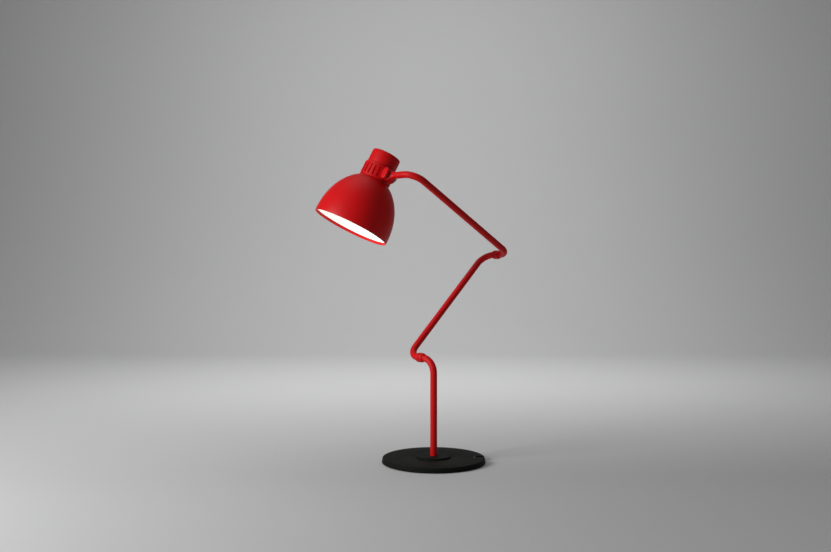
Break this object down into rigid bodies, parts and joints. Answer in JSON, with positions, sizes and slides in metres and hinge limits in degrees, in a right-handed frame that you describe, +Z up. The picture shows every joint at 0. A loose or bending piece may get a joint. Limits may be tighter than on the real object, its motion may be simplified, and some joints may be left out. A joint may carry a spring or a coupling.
{
  "type": "architect desk lamp",
  "caption": "Architect desk lamp with a round cast base, a bent post, C-bent tube arms on parallel friction hinges, and a tilting, swivelling dome shade.",
  "frame": {"origin": "centre of the underside of the base, on the table", "axes": "+Z up along the post; +Y along the hinge axes, towards the head; +X the way the lower arm leans"},
  "size_m": [0.4307, 0.3211, 0.6398],
  "materials": {
    "red_paint": "satin red powder coat",
    "black_casting": "fine textured black stove enamel",
    "rubber_pad": "matte sheet rubber",
    "rubber_gland": "moulded rubber",
    "steel": "zinc plated steel",
    "nylon": "natural nylon",
    "fibre": "black fibre washer",
    "wire": "insulated lead",
    "white_enamel": "gloss white enamel",
    "holder_black": "moulded phenolic",
    "brass": "stamped brass",
    "bulb_glass": "opal glass",
    "bulb_metal": "bright screw cap"
  },
  "bodies": {
    "base": {"base_plate": "black_casting", "base_pad": "rubber_pad", "base_hub": "black_casting", "hub_screws": "steel", "retainer_plate": "steel", "post_bush": "nylon", "thrust_washer": "nylon", "cable_gland": "rubber_gland", "cord_clamp": "nylon", "clamp_screws": "steel", "base_wire": "wire"},
    "post": {"post_tube": "red_paint", "post_stop_ring": "steel", "post_collar": "red_paint", "post_wire": "wire"},
    "lower_arm": {"lower_arm_tube": "red_paint", "lower_arm_near_collar": "red_paint", "lower_arm_far_collar": "red_paint", "lower_hinge_sleeve": "steel", "lower_hinge_washer": "fibre", "lower_hinge_spring": "steel", "lower_hinge_nut": "steel", "lower_arm_wire": "wire"},
    "upper_arm": {"upper_arm_tube": "red_paint", "upper_arm_collar": "red_paint", "upper_hinge_sleeve": "steel", "upper_hinge_washer": "fibre", "upper_hinge_spring": "steel", "upper_hinge_nut": "steel", "upper_arm_wire": "wire", "head_bush": "nylon"},
    "knuckle": {"knuckle": "red_paint", "swivel_clip": "steel", "knuckle_pin": "steel", "knuckle_washers": "fibre", "tension_screw": "steel", "tension_spring": "steel", "knuckle_wire": "wire"},
    "head": {"head_ring": "red_paint", "cheek_cover": "red_paint", "shade": "red_paint", "reflector": "white_enamel", "top_cap": "red_paint", "holder_plate": "steel", "holder_screws": "steel", "lamp_holder": "holder_black", "holder_contacts": "brass", "holder_nut": "steel", "bulb_glass": "bulb_glass", "bulb_cap": "bulb_metal", "head_wire": "wire"}
  },
  "joints": [
    {"name": "post_swivel", "type": "hinge", "parent": "base", "child": "post", "pos_m": [0, 0, 0.01], "axis": [0, 0, 1], "range_deg": [-160, 160]},
    {"name": "lower_hinge", "type": "hinge", "parent": "post", "child": "lower_arm", "pos_m": [0, 0.036, 0.21], "axis": [0, 1, 0], "range_deg": [-55, 20]},
    {"name": "upper_hinge", "type": "hinge", "parent": "lower_arm", "child": "upper_arm", "pos_m": [0.24602, 0.036, 0.42236], "axis": [0, 1, 0], "range_deg": [-24, 80]},
    {"name": "head_swivel", "type": "hinge", "parent": "upper_arm", "child": "knuckle", "pos_m": [-0.05501, 0.05, 0.58041], "axis": [0, 1, 0], "range_deg": [-120, 120]},
    {"name": "head_tilt", "type": "hinge", "parent": "knuckle", "child": "head", "pos_m": [-0.05501, 0.072, 0.58041], "axis": [0.9135, 0, -0.4067], "range_deg": [-18, 45]}
  ]
}
